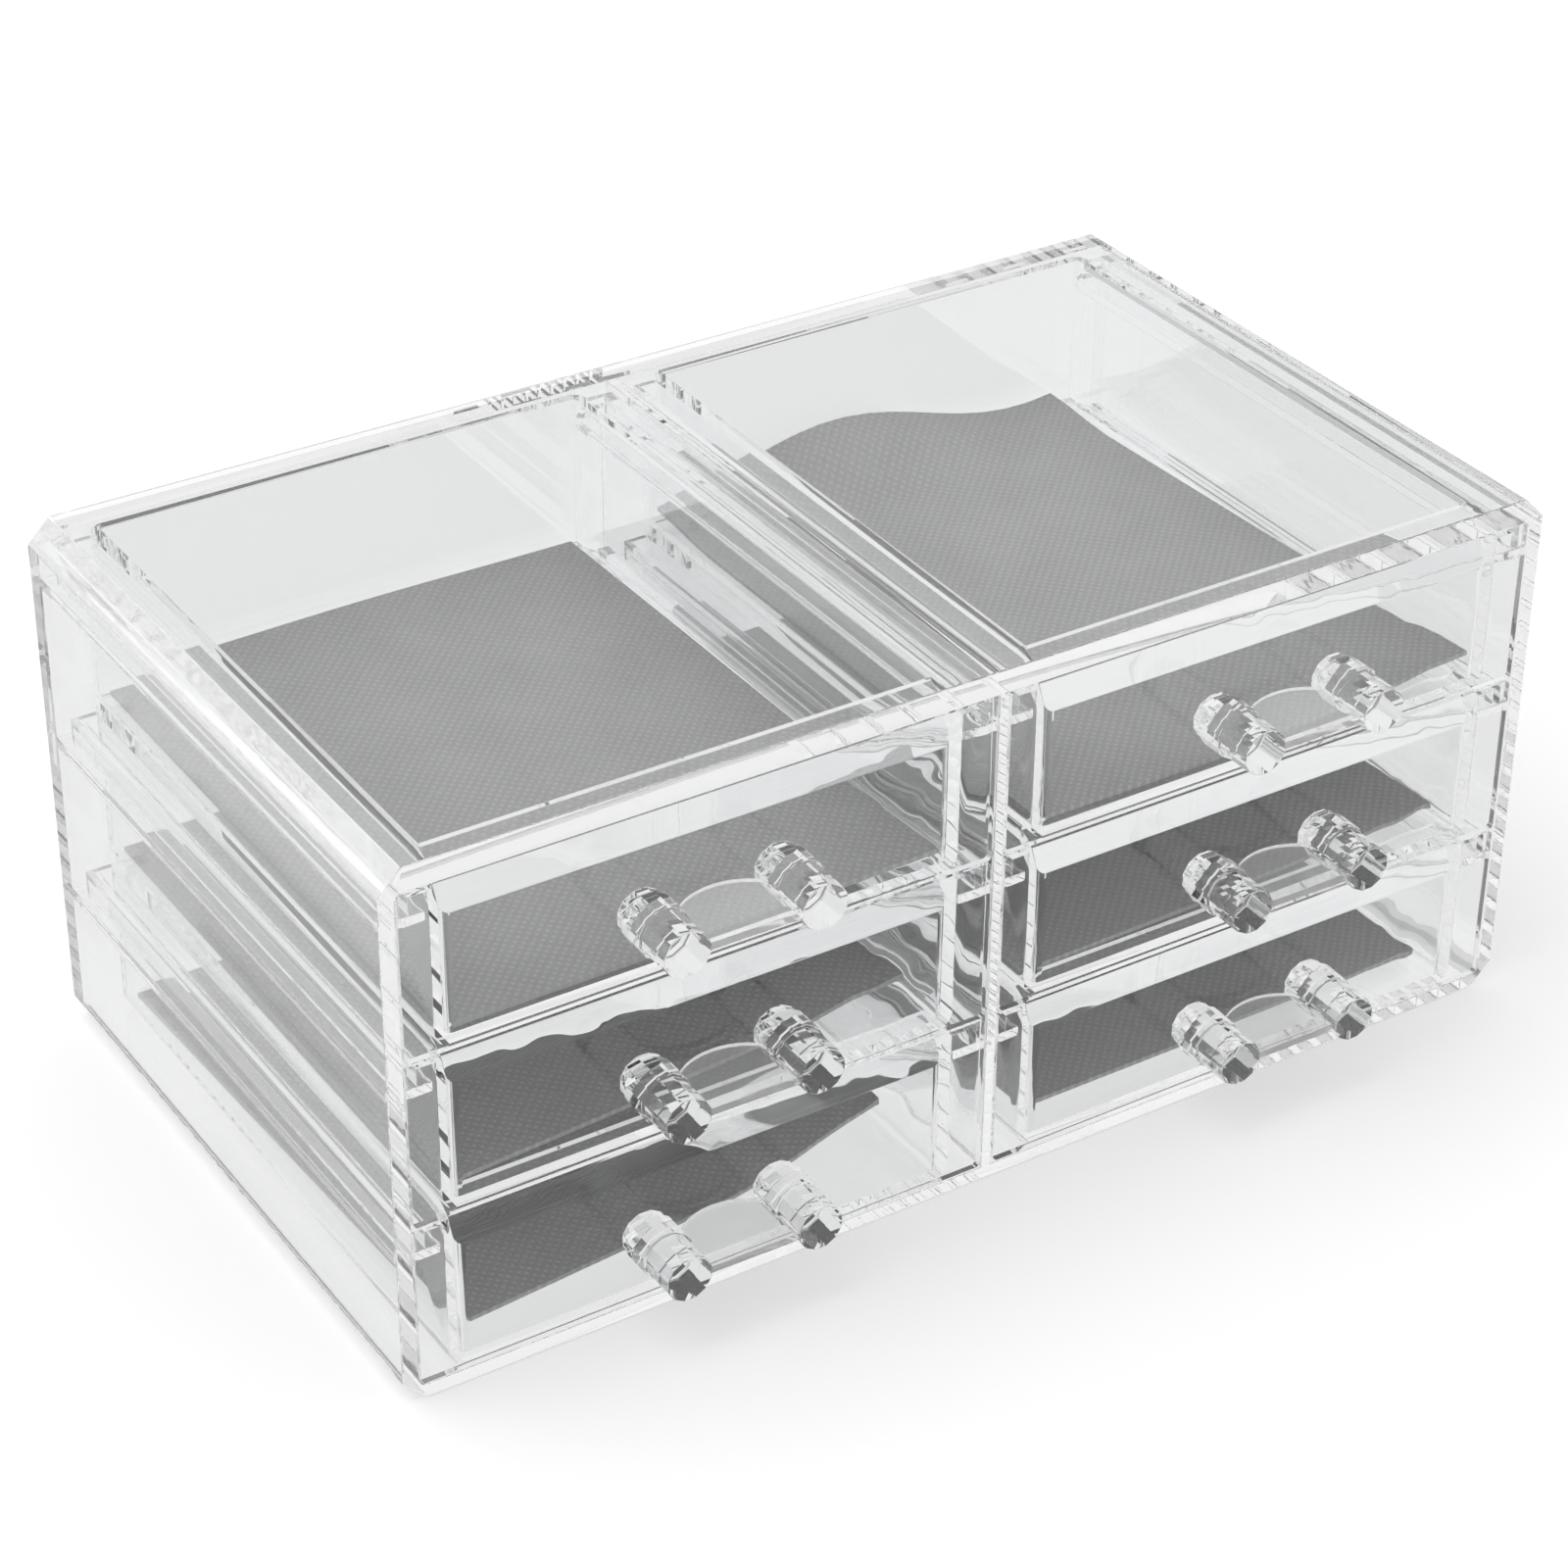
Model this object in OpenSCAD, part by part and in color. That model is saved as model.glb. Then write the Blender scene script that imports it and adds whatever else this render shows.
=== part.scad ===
// Clear drawer organizer: a case with two columns of three drawers, each with a two-post handle and a mat.
// Millimetres. The origin is the centre of the case's footprint, +Z is up and the drawers open towards -Y.

/* [Case] */
// Width of the case across both columns
case_w = 240; // [200:1:320]
// Depth of the case from front to back
case_d = 135; // [110:1:200]
// Height of the case
case_h = 108; // [96:1:150]
// Thickness of the two side walls
side_t = 3; // [2:0.1:4]
// Thickness of the top
top_t = 4.8; // [3:0.1:6]
// Thickness of the bottom
bottom_t = 2.8; // [2:0.1:4]
// Thickness of the back panel
back_t = 2.6; // [2:0.1:4]
// Thickness of the divider between the columns
divider_t = 2; // [1.5:0.1:3]
// Width of the bevel along the four long edges
bevel = 4.5; // [2:0.1:6]
// Radius in the corners of the case opening
opening_r = 1.6; // [0.5:0.1:2]

/* [Drawer fronts] */
// Gap beside each drawer front
side_gap = 0.5; // [0.3:0.05:1]
// Gap between one drawer front and the next
row_gap = 0.45; // [0.3:0.05:1]
// Thickness of a drawer front
front_t = 2.5; // [2:0.1:3.5]
// Radius on the corners of a drawer front
front_r = 1; // [0.5:0.1:2]
// Height of the bead behind the top edge of a front
bead_h = 7.5; // [4:0.1:9]
// Depth of that bead at the top edge
bead_d = 5.5; // [3:0.1:8]

/* [Trays] */
// Distance from the end of a front to the side of its tray
tray_inset = 6.3; // [5:0.1:8]
// Thickness of the tray walls
tray_wall = 2; // [1.4:0.1:2.5]
// Thickness of the tray floor
tray_floor = 2; // [1.4:0.1:2.5]
// Gap between the tray's back and the back panel
tray_back_gap = 1.2; // [0.8:0.1:4]
// Gap under the tray floor, above the bottom edge of the front
tray_lift = 0.25; // [0.1:0.05:0.6]
// Outer radius of the tray's upright back corners
tray_corner_r = 3; // [2.6:0.1:6]
// Outer radius along the tray's long bottom edges
tray_edge_r = 2.6; // [2.6:0.1:4]
// Inner radius of the tray's upright front corners
tray_fillet_r = 1.8; // [0.5:0.1:3]

/* [Runners] */
// Thickness of the rim flange on both sides of a tray
rim_t = 2; // [1.4:0.1:2.6]
// Distance from the end of a front to the outside of the rim
rim_inset = 0.9; // [0.5:0.1:1.5]
// Thickness of the lip that hangs from the rim
lip_t = 1.6; // [1.2:0.1:2]
// Height of the rim from its top to the foot of the lip
lip_h = 5.5; // [4:0.1:8]
// Thickness of the ledges that carry the lips
ledge_t = 2; // [1.4:0.1:2.5]
// Gap between the tip of a ledge and the tray
ledge_gap = 0.6; // [0.4:0.05:1]
// Running gap between a lip and its ledge
run_gap = 0.2; // [0.1:0.05:0.3]
// Gap between the front end of a ledge and the drawer front
ledge_front_gap = 0.3; // [0.2:0.05:1]

/* [Handles] */
// Distance between the two posts
post_pitch = 26.5; // [22:0.5:40]
// Distance from the middle of a drawer front down to the posts
post_drop = 2; // [0:0.1:4]
// Diameter of a post across its corners
post_d = 9; // [7:0.1:10.5]
// Number of flat sides on a post
post_sides = 12; // [8:1:12]
// Length of a post in front of the drawer
post_len = 15.2; // [13:0.1:24]
// How far the collar stands out around a post
collar_step = 0.5; // [0.2:0.1:1.5]
// Gap between the drawer front and the collar
collar_gap = 2.1; // [1:0.1:4]
// Length of the collar
collar_len = 5.8; // [3:0.1:8]
// Thickness of the bridge between the posts
bridge_t = 1.5; // [1:0.1:3]
// Distance from the post tips back to the bridge's straight edge
bridge_tip = 0.2; // [0.1:0.1:3]
// Gap between the drawer front and the crest of the bridge's arch
bridge_gap = 0.4; // [0.3:0.1:4]
// Height of the arch from where it meets the posts to its crest
arch_rise = 3.7; // [1:0.1:8]

/* [Mats] */
// Thickness of a liner mat
mat_t = 1; // [0.5:0.1:1.5]
// Gap between a mat and the tray walls where it lies closest
mat_gap = 0.5; // [0.3:0.1:2]
// Length of one step in the table of mat places
mat_step = 1; // [0.5:0.05:1.2]
// Cells along the width of a mat
mat_cells_x = 16; // [8:1:20]
// Cells along the depth of a mat
mat_cells_y = 20; // [8:1:24]

/* [Hidden] */
$fn = 48;
CLEAR = [0.93, 0.95, 0.97, 0.35];
LINER = [0.25, 0.25, 0.26];
// How far joined shapes overlap, and how far a cutting shape reaches past what it cuts
eps = 0.01;
over = 1;
ROWS = ["bottom", "middle", "top"];
COLUMNS = ["left", "right"];
row_count = len(ROWS);
column_count = len(COLUMNS);

front_y = -case_d / 2;
back_y = case_d / 2 - back_t;
ceiling_z = case_h - top_t;
row_pitch = (ceiling_z - bottom_t) / row_count;
front_h = row_pitch - row_gap;
bay_w = (case_w - 2 * side_t - divider_t) / column_count;
front_w = bay_w - 2 * side_gap;
bay_d = back_y - front_y;

tray_w = front_w - 2 * tray_inset;
tray_d = bay_d - tray_back_gap;
tray_in_w = tray_w - 2 * tray_wall;
floor_z = tray_lift + tray_floor;
rim_w = front_w - 2 * rim_inset;
ledge_w = side_gap + tray_inset - ledge_gap;
ledge_z = front_h - lip_h - run_gap;
ledge_y = front_t + ledge_front_gap;

post_z = front_h / 2 - post_drop;
post_flat = post_d / 2 * cos(180 / post_sides);
bridge_front = post_len - bridge_tip;
arch_half = post_pitch / 2 - post_flat;
arch_foot = bridge_gap + arch_rise;
arch_r = (arch_half * arch_half + arch_rise * arch_rise) / (2 * arch_rise);

// Where each mat lies, in steps: [gap to the side wall, gap to the end wall] past mat_gap at its four corners,
// then how far its front left corner, its front right corner and its back edge curl up. Last is where along it
// the back edge is highest, from 0 on the left to 1 on the right.
MAT_PLACES = [
    [[[5, 6], [2, 14], [1, 2], [1, 2]], [0, 6, 0.5], 0.5],
    [[[1, 3], [1, 10], [1, 2], [1, 2]], [0, 3, 0.5], 0.5],
    [[[1, 0.5], [0.5, 1], [2, 1], [1.5, 1]], [0, 0.8, 0.5], 0.5],
    [[[4.6, 6], [0.2, 6.5], [1, 2], [1, 2]], [0, 0.6, 0.5], 0.5],
    [[[1, 3], [1, 5], [1, 2], [1, 2]], [0, 2, 0.5], 0.5],
    [[[1, 1], [0.2, 1], [5.5, 0.5], [1, 0.5]], [0, 4, 10], 0.41]
];

function piece_name(kind, column, row) = str(kind, "_", ROWS[row], "_", COLUMNS[column]);
function bay_x(column) = (column - (column_count - 1) / 2) * (bay_w + divider_t);
function row_z(row) = bottom_t + row * row_pitch;

// A rectangle with round corners, its lower left corner at [x, y].
module round_rect(x, y, w, h, r) {
    translate([x + r, y]) square([w - 2 * r, h]);
    translate([x, y + r]) square([w, h - 2 * r]);
    for (cx = [x + r, x + w - r], cy = [y + r, y + h - r]) translate([cx, cy]) circle(r);
}

// Extrudes an outline drawn in X and Z from y0 to y1.
module along_y(y0, y1) {
    translate([0, y1, 0]) rotate([90, 0, 0]) linear_extrude(y1 - y0) children();
}

// Moves a drawer piece, drawn with its front at y = 0 and its foot at z = 0, to its bay.
module in_bay(column, row) {
    translate([bay_x(column), front_y, row_z(row) + row_gap / 2]) children();
}

// The bevelled outline of the case, seen from the front.
module case_outline() {
    half_w = case_w / 2;
    polygon([
        [-half_w + bevel, 0], [half_w - bevel, 0], [half_w, bevel], [half_w, case_h - bevel],
        [half_w - bevel, case_h], [-half_w + bevel, case_h], [-half_w, case_h - bevel], [-half_w, bevel]
    ]);
}

// One ledge per row on the wall at wall_x, standing out towards side (-1 or 1).
module ledges(wall_x, side) {
    for (r = [0:row_count - 1]) {
        z = row_z(r) + row_gap / 2 + ledge_z - ledge_t;
        translate([side > 0 ? wall_x - eps : wall_x - ledge_w, front_y + ledge_y, z])
            cube([ledge_w + eps, bay_d - ledge_y, ledge_t]);
    }
}

module case_shell() {
    inner_x = case_w / 2 - side_t;
    color(CLEAR) union() {
        difference() {
            along_y(front_y, back_y) case_outline();
            along_y(front_y - over, back_y + over)
                round_rect(-inner_x, bottom_t, 2 * inner_x, ceiling_z - bottom_t, opening_r);
        }
        ledges(-inner_x, 1);
        ledges(inner_x, -1);
    }
}

module back_panel() {
    color(CLEAR) along_y(back_y, case_d / 2) case_outline();
}

module centre_divider() {
    color(CLEAR) union() {
        translate([-divider_t / 2, front_y, bottom_t]) cube([divider_t, bay_d, ceiling_z - bottom_t]);
        ledges(divider_t / 2, 1);
        ledges(-divider_t / 2, -1);
    }
}

// A block with round long edges at the bottom, cut to the plan that is drawn as its child.
module tray_block(w, y0, y1, z0, z1, edge_r) {
    intersection() {
        translate([0, 0, z0]) linear_extrude(z1 - z0) children();
        along_y(y0, y1) round_rect(-w / 2, z0, w, z1 - z0 + 2 * edge_r, edge_r);
    }
}

// The outside of a tray: square against the front, with round upright corners at the back.
module tray_outside() {
    tray_block(tray_w, front_t - eps, tray_d, tray_lift, front_h, tray_edge_r)
        round_rect(-tray_w / 2, -tray_corner_r, tray_w, tray_d + tray_corner_r, tray_corner_r);
}

// The hollow of a tray, with small fillets in its front corners.
module tray_hollow() {
    back_r = tray_corner_r - tray_wall;
    back_in = tray_d - tray_wall;
    half_d = back_in - bay_d / 2;
    overlap = 2 * tray_fillet_r;
    tray_block(tray_in_w, front_t, back_in, floor_z, front_h + over, tray_edge_r - tray_wall) {
        round_rect(-tray_in_w / 2, front_t, tray_in_w, bay_d / 2, tray_fillet_r);
        round_rect(-tray_in_w / 2, back_in - half_d - overlap, tray_in_w, half_d + overlap, back_r);
    }
}

module drawer(column, row) {
    color(CLEAR) in_bay(column, row) difference() {
        union() {
            along_y(0, front_t) round_rect(-front_w / 2, 0, front_w, front_h, front_r);
            tray_outside();
            runner_rims();
        }
        difference() {
            tray_hollow();
            bead();
        }
    }
}

// The rim flange on both sides with its turned-down lip, from the front to the back of the tray.
module runner_rims() {
    for (side = [0, 1]) mirror([side, 0, 0]) along_y(front_t - eps, tray_d - tray_corner_r) {
        translate([tray_w / 2 - eps, front_h - rim_t]) square([(rim_w - tray_w) / 2 + eps, rim_t]);
        translate([rim_w / 2 - lip_t, front_h - lip_h]) square([lip_t, lip_h]);
    }
}

// The bead behind the top edge of the front, with a sloping underside.
module bead() {
    foot_z = front_h - bead_h;
    top_z = front_h + 2 * over;
    bead_y = front_t + bead_d;
    translate([-front_w / 2, 0, 0]) rotate([90, 0, 90]) linear_extrude(front_w)
        polygon([[0, foot_z], [front_t, foot_z], [bead_y, foot_z + bead_d], [bead_y, top_z], [0, top_z]]);
}

module handle(column, row) {
    color(CLEAR) in_bay(column, row) translate([0, 0, post_z]) {
        for (side = [-1, 1]) translate([side * post_pitch / 2, 0, 0]) rotate([90, 180 / post_sides, 0]) {
            cylinder(d = post_d, h = post_len, $fn = post_sides);
            translate([0, 0, collar_gap])
                cylinder(d = post_d + 2 * collar_step, h = collar_len, $fn = post_sides);
        }
        translate([0, 0, -bridge_t / 2]) linear_extrude(bridge_t) bridge_outline();
    }
}

// The bridge seen from above: a straight edge near the post tips and an arch towards the drawer.
module bridge_outline() {
    reach = post_pitch / 2 - post_flat / 2;
    translate([-reach, -bridge_front]) square([2 * reach, bridge_front - arch_foot]);
    intersection() {
        translate([0, -bridge_gap - arch_r]) circle(arch_r);
        translate([-arch_half, -arch_foot]) square([2 * arch_half, arch_foot]);
    }
}

// Eases from 0 to 1 as t goes from 0 to 1.
function ease(t) = t <= 0 ? 0 : t >= 1 ? 1 : t * t * (3 - 2 * t);

module mat(column, row) {
    place = MAT_PLACES[column * row_count + row];
    color(LINER) in_bay(column, row) translate([0, 0, floor_z])
        sheet(mat_step * place[0], mat_step * place[1], place[2]);
}

// A closed sheet, mat_t thick, over a grid of cells between four corners.
module sheet(gaps, curls, crest) {
    x_out = tray_in_w / 2 - mat_gap;
    y_in = front_t + mat_gap;
    y_out = tray_d - tray_wall - mat_gap;
    corners = [
        [-x_out + gaps[0][0], y_in + gaps[0][1]], [x_out - gaps[1][0], y_in + gaps[1][1]],
        [x_out - gaps[2][0], y_out - gaps[2][1]], [-x_out + gaps[3][0], y_out - gaps[3][1]]
    ];
    nx = mat_cells_x;
    ny = mat_cells_y;
    row_n = nx + 1;
    under = [for (j = [0:ny], i = [0:nx]) sheet_point(i / nx, j / ny, corners, curls, crest)];
    over = [for (p = under) p + [0, 0, mat_t]];
    n = len(under);
    over_faces = [for (j = [0:ny - 1], i = [0:nx - 1]) let (a = n + j * row_n + i)
        each [[a, a + row_n, a + 1], [a + 1, a + row_n, a + row_n + 1]]];
    under_faces = [for (j = [0:ny - 1], i = [0:nx - 1]) let (a = j * row_n + i)
        each [[a, a + 1, a + row_n], [a + 1, a + row_n + 1, a + row_n]]];
    edge = concat([for (i = [0:nx - 1]) i], [for (j = [0:ny - 1]) j * row_n + nx],
        [for (i = [nx:-1:1]) ny * row_n + i], [for (j = [ny:-1:1]) j * row_n]);
    edge_faces = [for (k = [0:len(edge) - 1]) let (a = edge[k], b = edge[(k + 1) % len(edge)])
        each [[a, a + n, b], [b, a + n, b + n]]];
    polyhedron(concat(under, over), concat(over_faces, under_faces, edge_faces));
}

// A point under the sheet, u across from the left and v back from the front.
function sheet_point(u, v, corners, curls, crest) =
    let (p = (1 - v) * ((1 - u) * corners[0] + u * corners[1]) + v * ((1 - u) * corners[3] + u * corners[2]))
    [p[0], p[1], sheet_height(u, v, curls, crest)];

// Height above the tray floor: the front corners curl up and the back edge climbs the tray's back wall.
function sheet_height(u, v, curls, crest) =
    curls[0] * ease(1 - u / 0.4) * ease(1 - v / 0.4)
    + curls[1] * ease((u - 0.6) / 0.4) * ease(1 - v / 0.4)
    + curls[2] * ease((v - 0.84) / 0.16) * (0.55 + 0.45 * cos(360 * (u - crest)));

case_shell();
back_panel();
centre_divider();
for (c = [0:column_count - 1], r = [0:row_count - 1]) {
    drawer(c, r);
    handle(c, r);
    mat(c, r);
}
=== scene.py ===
import math

import bmesh
import bpy
import numpy as np
from mathutils import Matrix, Vector
from mathutils.bvhtree import BVHTree


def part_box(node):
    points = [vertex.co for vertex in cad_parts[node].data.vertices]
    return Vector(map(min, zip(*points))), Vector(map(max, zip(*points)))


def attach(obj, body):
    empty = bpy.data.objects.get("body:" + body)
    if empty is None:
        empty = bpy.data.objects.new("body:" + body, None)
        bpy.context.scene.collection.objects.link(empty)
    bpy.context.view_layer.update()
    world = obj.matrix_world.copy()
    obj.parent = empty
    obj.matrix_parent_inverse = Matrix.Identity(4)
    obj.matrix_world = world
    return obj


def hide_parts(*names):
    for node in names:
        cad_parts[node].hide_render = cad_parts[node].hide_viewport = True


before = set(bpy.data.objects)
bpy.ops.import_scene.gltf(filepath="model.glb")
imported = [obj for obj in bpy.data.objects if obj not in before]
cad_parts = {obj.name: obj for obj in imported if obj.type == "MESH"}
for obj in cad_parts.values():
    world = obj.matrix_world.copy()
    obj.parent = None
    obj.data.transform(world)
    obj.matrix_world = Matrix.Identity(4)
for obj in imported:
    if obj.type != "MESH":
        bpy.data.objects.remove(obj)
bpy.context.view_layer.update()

IMAGE = 1600  # pixels along the side of the photograph
ROWS = ("bottom", "middle", "top")
COLUMNS = ("left", "right")

# The camera, in degrees, pixels of the photograph and metres.
CAMERA_AZIMUTH = -32.61
CAMERA_ELEVATION = 32.24
CAMERA_ROLL = 0.48
CAMERA_FOCAL = 4204.6
CAMERA_PLACE = (-0.35484, -0.55267, 0.46315)
SENSOR = 36.0
CLIP = (0.01, 20)

# Clear plastic, and the slow waves of its polished faces.
ACRYLIC_IOR = 1.49
ACRYLIC_TINT = (0.985, 0.988, 0.99, 1)
WAVE_SCALE = 24.0
WAVE_DEPTH = 0.000006

# Light runs along inside clear plastic, mirrored by its faces, and a path that is cut short is black.
BOUNCES = 250
DIFFUSE_BOUNCES = 4

# Corners nearer than MERGE are one, and faces that turn by less than FLAT_ANGLE are one flat face. Edges that turn by
# less than SMOOTH_ANGLE are shaded round. Those that turn by more than EDGE_ANGLE and are longer than SHORT_EDGE are
# broken by a small round, CASE_EDGE or DRAWER_EDGE wide.
MERGE = 0.00002
FLAT_ANGLE = math.radians(0.05)
SMOOTH_ANGLE = math.radians(25)
EDGE_ANGLE = math.radians(35)
CASE_EDGE = 0.00025
DRAWER_EDGE = 0.00015
SHORT_EDGE = 0.002

# Flow marks of the moulding. They fade in over RIGHT_END, in half widths of a drawer, and the bead's place is given
# from the middle of a handle and the face of a front.
FLOW_SCALE = 90.0
FLOW_DEPTH = 0.0008
BEAD_FLOW = 0.25
RIGHT_END = (0.35, 0.8)
BEAD_ABOVE = 0.0148
BEAD_HALF = 0.0038
BEAD_Y = (0.0026, 0.0082)

# The handles' bridges: half of their span between the posts and of the height that is a little frosted.
BRIDGE_HALF = 0.0088
FROST_HALF = 0.001

# The case's bevels: faint streaks along them, how far a face turns to be one, and how much of the light they scatter.
STREAK_SCALE = (600, 100, 600)
STREAK_DEPTH = 0.15
BEVEL_TURN = 0.3
BEVEL_FROST = 0.35

# How much of the light a frosted bridge and the sawn top of the back panel scatter. SKIN is how near counts as on a
# face.
BRIDGE_FROST = 0.16
SAWN_FROST = 0.35
SKIN = 0.0002

# Liner mats: the sheet, its lattice of embossed dots and blotches, and greys with painted light in them.
LINER_THICKNESS = 0.0009
LINER_CELLS = (72, 90)
LINER_INSET = 0.0005
LINER_CREASE = math.radians(40)
# Painted light: these greys are paler than the fabric, standing in for lamp light the plastic keeps off the mats.
LINER_LIT_DARK = (0.43, 0.43, 0.433, 1)
LINER_LIT_PALE = (0.79, 0.79, 0.793, 1)
DOT_PITCH = 0.00147
DOT_DEPTH = 0.00025
DOT_STRENGTH = 0.6
BLOTCH_SCALE = 60.0
# This share paints the dots' raised middles paler, a painted highlight, and gives the blotches their random tone.
DOT_HIGHLIGHT_AND_BLOTCH = 0.45
LINER_ROUGHNESS = 0.55
LINER_SHEEN = 0.15

# The floor, whose pale light the plastic shows, and the studio around it, from the horizon up.
FLOOR_SIZE = 4
FLOOR_DROP = 0.0002
FLOOR_WHITE = 0.95
FLOOR_GLOW = 0.88
SHADOW_MIX = 0.5  # half of the floor's white is light of its own, which keeps the shadow faint
HORIZON = (0.5, (0.76, 0.76, 0.76, 1))
OVERHEAD = (0.75, (0.92, 0.92, 0.92, 1))

# The one lamp, high on the left, in metres and watts.
KEY_PLACE = (-0.5, 0.1, 1.3)
KEY_TARGET = (0, 0, 0.05)
KEY_SIZE = (0.9, 0.9)
KEY_POWER = 8


def add_camera():
    az, el, roll = (math.radians(a) for a in (CAMERA_AZIMUTH, CAMERA_ELEVATION, CAMERA_ROLL))
    back = Vector((math.sin(az) * math.cos(el), -math.cos(az) * math.cos(el), math.sin(el)))
    right = Vector((0, 0, 1)).cross(back).normalized()
    up = back.cross(right)
    right, up = math.cos(roll) * right + math.sin(roll) * up, math.cos(roll) * up - math.sin(roll) * right
    data = bpy.data.cameras.new("camera")
    data.sensor_width = SENSOR
    data.lens = CAMERA_FOCAL / IMAGE * SENSOR
    data.clip_start, data.clip_end = CLIP
    camera = bpy.data.objects.new("camera", data)
    bpy.context.scene.collection.objects.link(camera)
    place = Matrix((right, up, back)).transposed().to_4x4()
    place.translation = Vector(CAMERA_PLACE)
    camera.matrix_world = place
    bpy.context.scene.camera = camera


class Shader:
    """A node material, built a node at a time."""

    def __init__(self, tree):
        self.tree = tree
        self.tree.nodes.clear()

    def add(self, kind, links=None, **values):
        node = self.tree.nodes.new(kind)
        for key, value in values.items():
            setattr(node, key, value)
        for socket, source in (links or {}).items():
            if isinstance(source, bpy.types.NodeSocket):
                self.tree.links.new(source, node.inputs[socket])
            else:
                node.inputs[socket].default_value = source
        return node

    def math(self, operation, a, b=0.0):
        return self.add("ShaderNodeMath", {0: a, 1: b}, operation=operation).outputs[0]


def new_material(name):
    material = bpy.data.materials.new(name)
    material.use_nodes = True
    return material, Shader(material.node_tree)


def middle(node):
    low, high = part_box(node)
    return [(a + b) / 2 for a, b in zip(low, high)]


def near(s, value, centre, reach):
    """1 within a distance of a value, and 0 elsewhere."""
    return s.math("LESS_THAN", s.math("ABSOLUTE", s.math("SUBTRACT", value, centre)), reach)


def both(s, *masks):
    """1 where each of the masks is 1."""
    result = masks[0]
    for mask in masks[1:]:
        result = s.math("MULTIPLY", result, mask)
    return result


def repeated(s, value, centre, pitch):
    """Distance from the nearest of a row of centres. 8.5 puts each centre mid-pitch and keeps the count positive."""
    steps = s.math("DIVIDE", s.math("SUBTRACT", value, centre), pitch)
    return s.math("MULTIPLY", s.math("SUBTRACT", s.math("FRACT", s.math("ADD", steps, 8.5)), 0.5), pitch)


def acrylic_material(name, details):
    """Clear plastic. details(s, where) gives the height of its surface marks and how much it scatters."""
    material, s = new_material(name)
    where = s.add("ShaderNodeTexCoord").outputs["Object"]
    wave = s.add("ShaderNodeTexNoise", {"Vector": where, "Scale": WAVE_SCALE, "Detail": 2.0, "Roughness": 0.5})
    bump = s.add("ShaderNodeBump", {"Height": wave.outputs["Fac"], "Strength": 1.0, "Distance": WAVE_DEPTH})
    marks, frost = details(s, where)
    bump = s.add("ShaderNodeBump", {
        "Height": marks, "Strength": 1.0, "Distance": FLOW_DEPTH, "Normal": bump.outputs["Normal"]})
    glass = s.add("ShaderNodeBsdfPrincipled", {
        "Base Color": ACRYLIC_TINT, "Roughness": 0.0, "IOR": ACRYLIC_IOR,
        "Transmission Weight": s.math("SUBTRACT", 1.0, frost), "Normal": bump.outputs["Normal"]})
    s.add("ShaderNodeOutputMaterial", {"Surface": glass.outputs[0]})
    return material


def sheet_details(s, where):
    """The case is cut from sheet: the top edge of its back panel is sawn, and its bevels have streaks along them."""
    low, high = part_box("back_panel")
    split = s.add("ShaderNodeSeparateXYZ", {0: where}).outputs
    sawn = both(s, s.math("GREATER_THAN", split["Y"], low[1] + SKIN), near(s, split["Z"], high[2], SKIN))
    face = s.add("ShaderNodeSeparateXYZ", {0: s.add("ShaderNodeNewGeometry").outputs["Normal"]}).outputs
    turn = s.math("ABSOLUTE", s.math("MULTIPLY", face["X"], face["Z"]))
    bevel = s.math("GREATER_THAN", turn, BEVEL_TURN)
    drawn = s.add("ShaderNodeMapping", {"Vector": where, "Scale": STREAK_SCALE}).outputs[0]
    streaks = s.add("ShaderNodeTexNoise", {"Vector": drawn, "Scale": 1.0, "Detail": 1.0}).outputs["Fac"]
    marks = s.math("MULTIPLY", s.math("MULTIPLY", streaks, bevel), STREAK_DEPTH)
    frost = s.math("ADD", s.math("MULTIPLY", sawn, SAWN_FROST), s.math("MULTIPLY", bevel, BEVEL_FROST))
    return marks, frost


def moulded_details(s, where):
    """The drawers are moulded: flow marks on the right end of each front and on the bead, and a frosted bridge."""
    left, right, above = (middle("handle_" + name) for name in ("bottom_left", "bottom_right", "middle_left"))
    low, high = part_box("drawer_bottom_left")
    half_w = (high[0] - low[0]) / 2
    row_pitch = above[2] - left[2]
    split = s.add("ShaderNodeSeparateXYZ", {0: where}).outputs
    x = repeated(s, split["X"], left[0], right[0] - left[0])
    y = s.math("SUBTRACT", split["Y"], low[1])
    z = repeated(s, split["Z"], left[2], row_pitch)
    bead_z = repeated(s, split["Z"], left[2] + BEAD_ABOVE, row_pitch)
    right_end = s.add("ShaderNodeMapRange", {0: x, 1: half_w * RIGHT_END[0], 2: half_w * RIGHT_END[1]},
                      interpolation_type="SMOOTHSTEP")
    face = both(s, right_end.outputs[0], near(s, y, 0, SKIN))
    bead = both(s, near(s, bead_z, 0, BEAD_HALF), near(s, y, sum(BEAD_Y) / 2, (BEAD_Y[1] - BEAD_Y[0]) / 2))
    flow = s.add("ShaderNodeTexNoise", {"Vector": where, "Scale": FLOW_SCALE, "Detail": 1.0}).outputs["Fac"]
    marks = s.math("MULTIPLY", flow, s.math("ADD", face, s.math("MULTIPLY", bead, BEAD_FLOW)))
    bridge = both(s, near(s, x, 0, BRIDGE_HALF), near(s, z, 0, FROST_HALF), s.math("LESS_THAN", y, -SKIN))
    return marks, s.math("MULTIPLY", bridge, BRIDGE_FROST)


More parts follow.
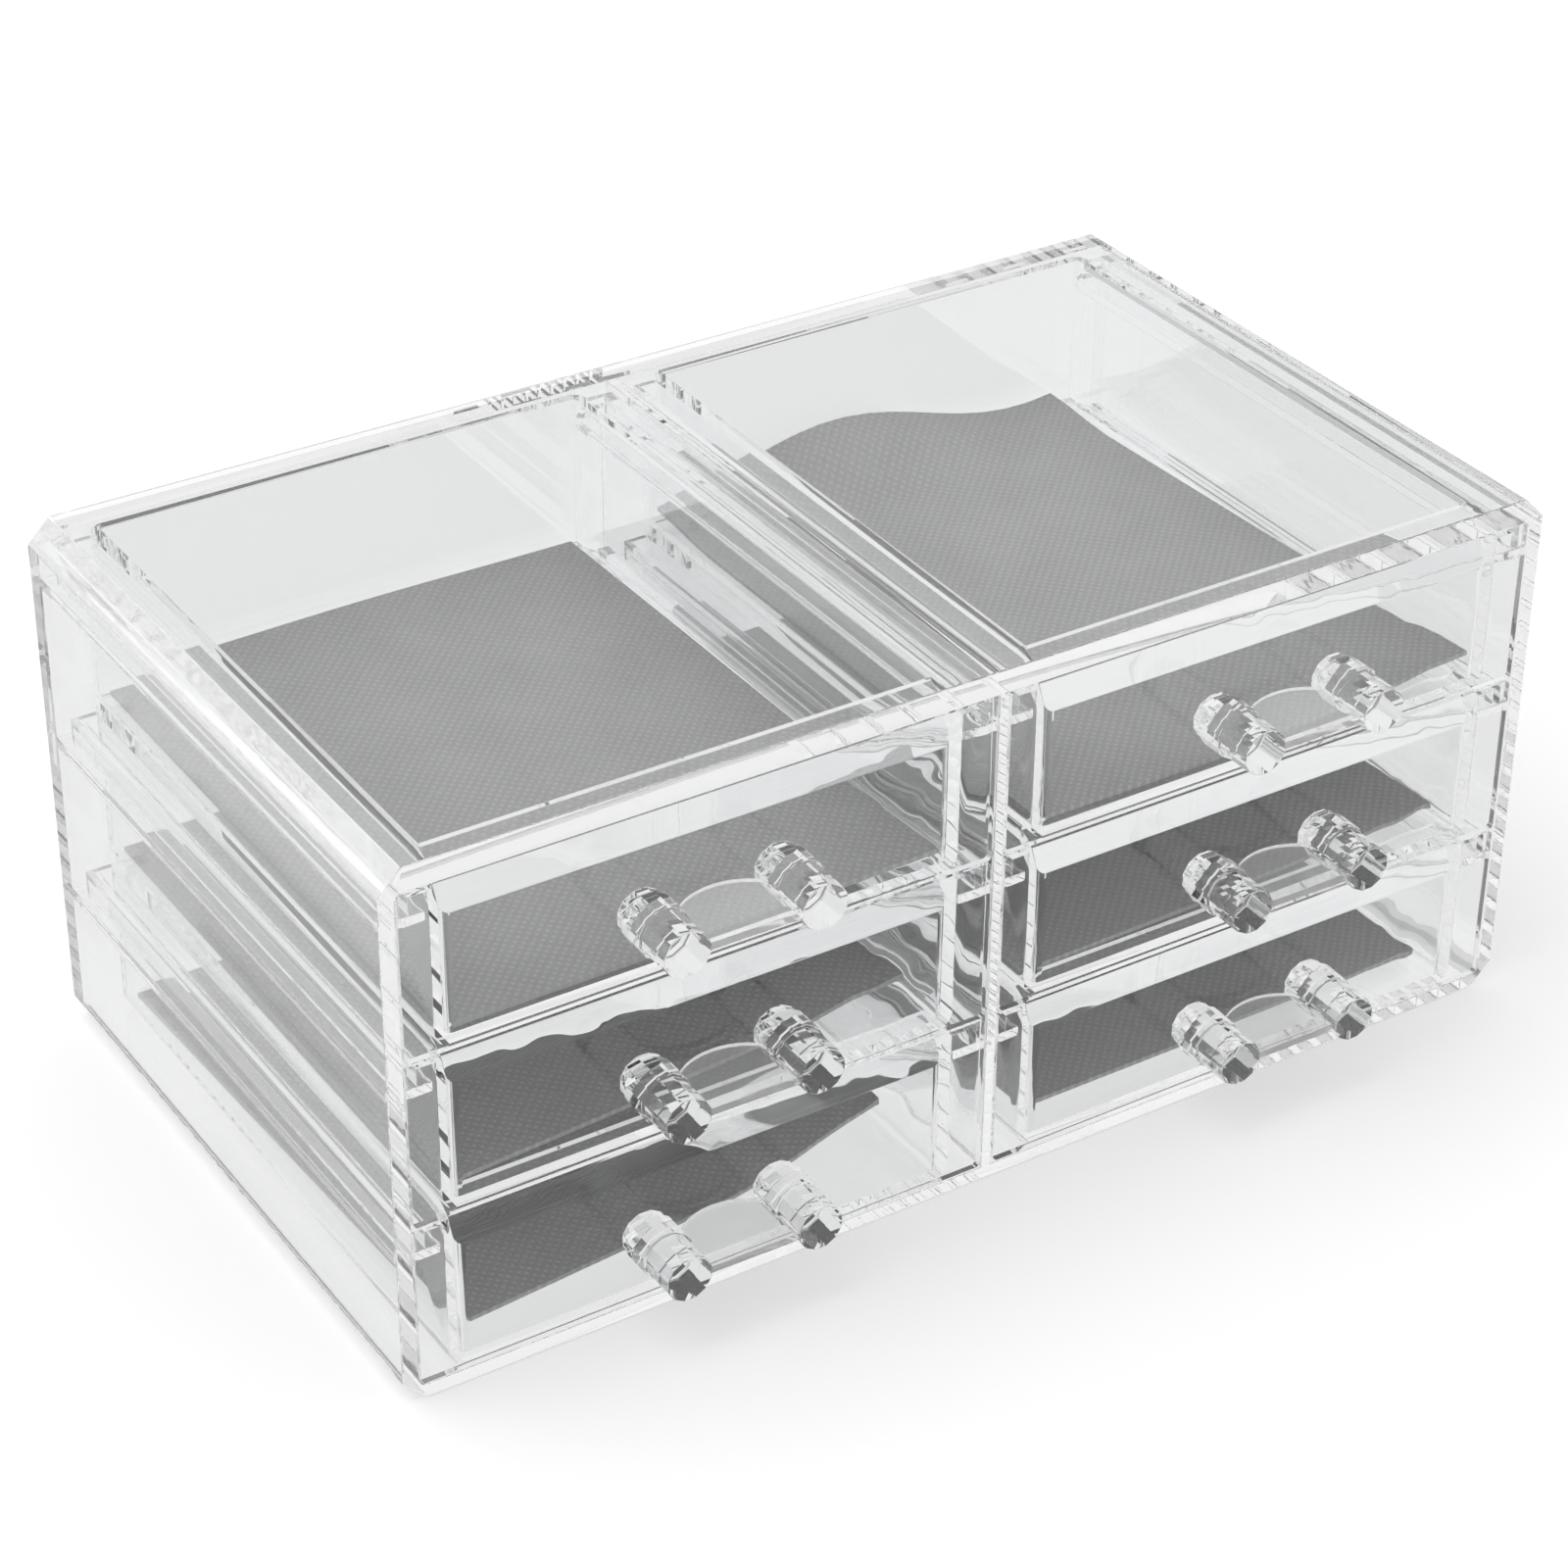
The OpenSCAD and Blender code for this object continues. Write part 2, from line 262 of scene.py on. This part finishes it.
def liner_material():
    """Grey fabric with 45-degree embossed dots, painted highlights on them and painted light in its greys."""
    material, s = new_material("liner_mat")
    where = s.add("ShaderNodeTexCoord").outputs["Object"]
    turned = s.add("ShaderNodeMapping", {"Vector": where, "Rotation": (0, 0, math.radians(45))}).outputs[0]
    split = s.add("ShaderNodeSeparateXYZ", {0: turned}).outputs
    per = 2 * math.pi / DOT_PITCH
    across, along = (s.math("COSINE", s.math("MULTIPLY", split[axis], per)) for axis in "XY")
    dots = s.math("MULTIPLY", s.math("ADD", across, 1), s.math("ADD", along, 1))
    dots = s.math("MULTIPLY", dots, 0.25)  # 0 between the dots and 1 in their middles
    blotch = s.add("ShaderNodeTexNoise", {"Vector": where, "Scale": BLOTCH_SCALE, "Detail": 4.0}).outputs["Fac"]
    # Painted highlight on the dots' raised middles, plus the blotches' random tone.
    highlight_and_tone = s.math("ADD", s.math("MULTIPLY", dots, DOT_HIGHLIGHT_AND_BLOTCH), s.math("MULTIPLY", blotch, DOT_HIGHLIGHT_AND_BLOTCH))
    ramp = s.add("ShaderNodeValToRGB", {"Fac": highlight_and_tone})
    for stop, colour in zip(ramp.color_ramp.elements, (LINER_LIT_DARK, LINER_LIT_PALE)):
        stop.color = colour
    bump = s.add("ShaderNodeBump", {"Height": dots, "Strength": DOT_STRENGTH, "Distance": DOT_DEPTH})
    cloth = s.add("ShaderNodeBsdfPrincipled", {
        "Base Color": ramp.outputs["Color"], "Roughness": LINER_ROUGHNESS, "Sheen Weight": LINER_SHEEN,
        "Normal": bump.outputs["Normal"]})
    s.add("ShaderNodeOutputMaterial", {"Surface": cloth.outputs[0]})
    return material


def new_object(name, mesh, material):
    mesh.materials.clear()
    mesh.materials.append(material)
    made = bpy.data.objects.new(name, mesh)
    bpy.context.scene.collection.objects.link(made)
    return made


def fused_mesh(name, nodes, edge):
    """One closed mesh of several touching CAD nodes, as bonded acrylic has no surface inside."""
    work = []
    for node in nodes:
        other = bpy.data.objects.new(node + "_work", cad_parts[node].data.copy())
        bpy.context.scene.collection.objects.link(other)
        weld(other.data)
        work.append(other)
        if len(work) > 1:
            join = work[0].modifiers.new("join", "BOOLEAN")
            join.operation, join.solver, join.object = "UNION", "EXACT", other
    mesh = evaluated_mesh(work[0])
    for o in work:
        bpy.data.objects.remove(o)
    weld(mesh)
    break_edges(mesh, edge)
    mesh.shade_smooth()
    mesh.set_sharp_from_angle(angle=SMOOTH_ANGLE)
    smooth = bpy.data.objects.new(name + "_work", mesh)
    bpy.context.scene.collection.objects.link(smooth)
    normals = smooth.modifiers.new("normals", "WEIGHTED_NORMAL")
    normals.mode, normals.weight, normals.keep_sharp = "FACE_AREA", 100, True
    made = evaluated_mesh(smooth)
    bpy.data.objects.remove(smooth)
    return made


def evaluated_mesh(work):
    bpy.context.view_layer.update()
    return bpy.data.meshes.new_from_object(work.evaluated_get(bpy.context.evaluated_depsgraph_get()))


def weld(mesh):
    """Closes the seams of a mesh and makes each of its flat areas one face."""
    shape = bmesh.new()
    shape.from_mesh(mesh)
    bmesh.ops.remove_doubles(shape, verts=shape.verts, dist=MERGE)
    bmesh.ops.dissolve_limit(shape, angle_limit=FLAT_ANGLE, verts=shape.verts, edges=shape.edges)
    bmesh.ops.recalc_face_normals(shape, faces=shape.faces)
    shape.to_mesh(mesh)
    shape.free()


def break_edges(mesh, width):
    """Rounds the long edges by a hair's breadth, as on polished acrylic."""
    shape = bmesh.new()
    shape.from_mesh(mesh)
    edges = [e for e in shape.edges if e.calc_length() > SHORT_EDGE and e.calc_face_angle() > EDGE_ANGLE]
    bmesh.ops.bevel(shape, geom=edges, offset=width, offset_type="OFFSET", segments=2, profile=0.5, affect="EDGES")
    shape.to_mesh(mesh)
    shape.free()


def clear_piece(name, body, nodes, edge, material):
    """A moulding or bonded case in place of its CAD nodes."""
    piece = new_object(name, fused_mesh(name, nodes, edge), material)
    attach(piece, body)
    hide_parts(*nodes)


def liner(name, body):
    """A thin sheet over the CAD mat's own surface, with a finer grid: upper side, underside and the rim between."""
    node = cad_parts["mat_" + name]
    points = np.array([v.co for v in node.data.vertices])
    x, y = points[:, 0], points[:, 1]
    # Front left, front right, back right and back left.
    corners = [Vector(points[i][:2]) for i in (
        np.argmin(x + y), np.argmax(x - y), np.argmax(x + y), np.argmin(x - y))]
    surface = BVHTree.FromPolygons([v.co for v in node.data.vertices], [p.vertices for p in node.data.polygons])
    shape = bmesh.new()
    nx, ny = LINER_CELLS
    over, under = [], []
    for j in range(ny + 1):
        for i in range(nx + 1):
            u, v = (min(max(share, LINER_INSET), 1 - LINER_INSET) for share in (i / nx, j / ny))
            p = (1 - v) * ((1 - u) * corners[0] + u * corners[1]) + v * ((1 - u) * corners[3] + u * corners[2])
            hit = surface.ray_cast(Vector((p.x, p.y, 1)), Vector((0, 0, -1)))[0]
            over.append(shape.verts.new((p.x, p.y, hit.z)))
            under.append(shape.verts.new((p.x, p.y, hit.z - LINER_THICKNESS)))
    row = nx + 1
    for j in range(ny):
        for i in range(nx):
            a = j * row + i
            shape.faces.new((over[a], over[a + 1], over[a + row + 1], over[a + row]))
            shape.faces.new((under[a], under[a + row], under[a + row + 1], under[a + 1]))
    edge = list(range(nx)) + [j * row + nx for j in range(ny)]
    edge += [ny * row + i for i in range(nx, 0, -1)] + [j * row for j in range(ny, 0, -1)]
    for k, a in enumerate(edge):
        b = edge[(k + 1) % len(edge)]
        shape.faces.new((over[b], over[a], under[a], under[b]))
    mesh = bpy.data.meshes.new("liner_" + name)
    shape.to_mesh(mesh)
    shape.free()
    mesh.shade_smooth()
    mesh.set_sharp_from_angle(angle=LINER_CREASE)
    piece = new_object("liner_" + name, mesh, fabric)
    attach(piece, body)
    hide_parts("mat_" + name)


def seen_through(s):
    """1 where a ray has left clear plastic or been mirrored by it."""
    path = s.add("ShaderNodeLightPath").outputs
    return s.math("MAXIMUM", path["Is Glossy Ray"], path["Is Transmission Ray"])


def add_floor():
    """A pale floor that keeps the object's shadow, and that clear plastic shows as an even pale light."""
    material, s = new_material("floor")
    surface = s.add("ShaderNodeBsdfDiffuse", {"Color": (FLOOR_WHITE, FLOOR_WHITE, FLOOR_WHITE, 1)})
    white = s.add("ShaderNodeEmission", {"Color": (1, 1, 1, 1), "Strength": 1.0})
    pale = s.add("ShaderNodeMixShader", {0: SHADOW_MIX, 1: surface.outputs[0], 2: white.outputs[0]})
    lit = s.add("ShaderNodeEmission", {"Color": (FLOOR_GLOW, FLOOR_GLOW, FLOOR_GLOW, 1), "Strength": 1.0})
    mix = s.add("ShaderNodeMixShader", {0: seen_through(s), 1: pale.outputs[0], 2: lit.outputs[0]})
    s.add("ShaderNodeOutputMaterial", {"Surface": mix.outputs[0]})
    shape = bmesh.new()
    bmesh.ops.create_grid(shape, x_segments=1, y_segments=1, size=FLOOR_SIZE)
    mesh = bpy.data.meshes.new("floor")
    shape.to_mesh(mesh)
    shape.free()
    floor = new_object("floor", mesh, material)
    floor.location.z = -FLOOR_DROP


def add_world():
    """A studio that is brighter overhead, and white behind the object."""
    world = bpy.data.worlds.new("studio")
    world.use_nodes = True
    bpy.context.scene.world = world
    s = Shader(world.node_tree)
    where = s.add("ShaderNodeTexCoord").outputs["Generated"]
    height = s.add("ShaderNodeSeparateXYZ", {0: where}).outputs["Z"]
    ramp = s.add("ShaderNodeValToRGB", {"Fac": s.math("ADD", s.math("MULTIPLY", height, 0.5), 0.5)})
    for stop, (position, colour) in zip(ramp.color_ramp.elements, (HORIZON, OVERHEAD)):
        stop.position, stop.color = position, colour
    studio = s.add("ShaderNodeBackground", {"Color": ramp.outputs["Color"], "Strength": 1.0})
    white = s.add("ShaderNodeBackground", {"Color": (1, 1, 1, 1), "Strength": 1.0})
    camera_ray = s.add("ShaderNodeLightPath").outputs["Is Camera Ray"]
    mix = s.add("ShaderNodeMixShader", {0: camera_ray, 1: studio.outputs[0], 2: white.outputs[0]})
    s.add("ShaderNodeOutputWorld", {"Surface": mix.outputs[0]})


def add_lamp(name, place, target, size, power):
    """An area lamp that plastic neither shows nor mirrors."""
    data = bpy.data.lights.new(name, "AREA")
    data.shape, data.size, data.size_y, data.energy = "RECTANGLE", size[0], size[1], power
    lamp = bpy.data.objects.new(name, data)
    lamp.visible_transmission = False
    lamp.visible_glossy = False
    bpy.context.scene.collection.objects.link(lamp)
    lamp.location = place
    lamp.rotation_mode = "QUATERNION"
    lamp.rotation_quaternion = (Vector(target) - Vector(place)).to_track_quat("-Z", "Y")


sheet_acrylic = acrylic_material("clear_sheet", sheet_details)
moulded_acrylic = acrylic_material("clear_moulded", moulded_details)
fabric = liner_material()
add_camera()
add_floor()
add_world()
add_lamp("key", KEY_PLACE, KEY_TARGET, KEY_SIZE, KEY_POWER)

clear_piece("case", "case", ["case_shell", "centre_divider", "back_panel"], CASE_EDGE, sheet_acrylic)
for column in COLUMNS:
    for row in ROWS:
        name = row + "_" + column
        clear_piece("clear_" + name, name + "_drawer", ["drawer_" + name, "handle_" + name], DRAWER_EDGE,
                    moulded_acrylic)
        liner(name, name + "_drawer")

scene = bpy.context.scene
scene.view_settings.view_transform = "Standard"
for kind in ("max", "transmission", "glossy"):
    setattr(scene.cycles, kind + "_bounces", BOUNCES)
scene.cycles.diffuse_bounces = DIFFUSE_BOUNCES
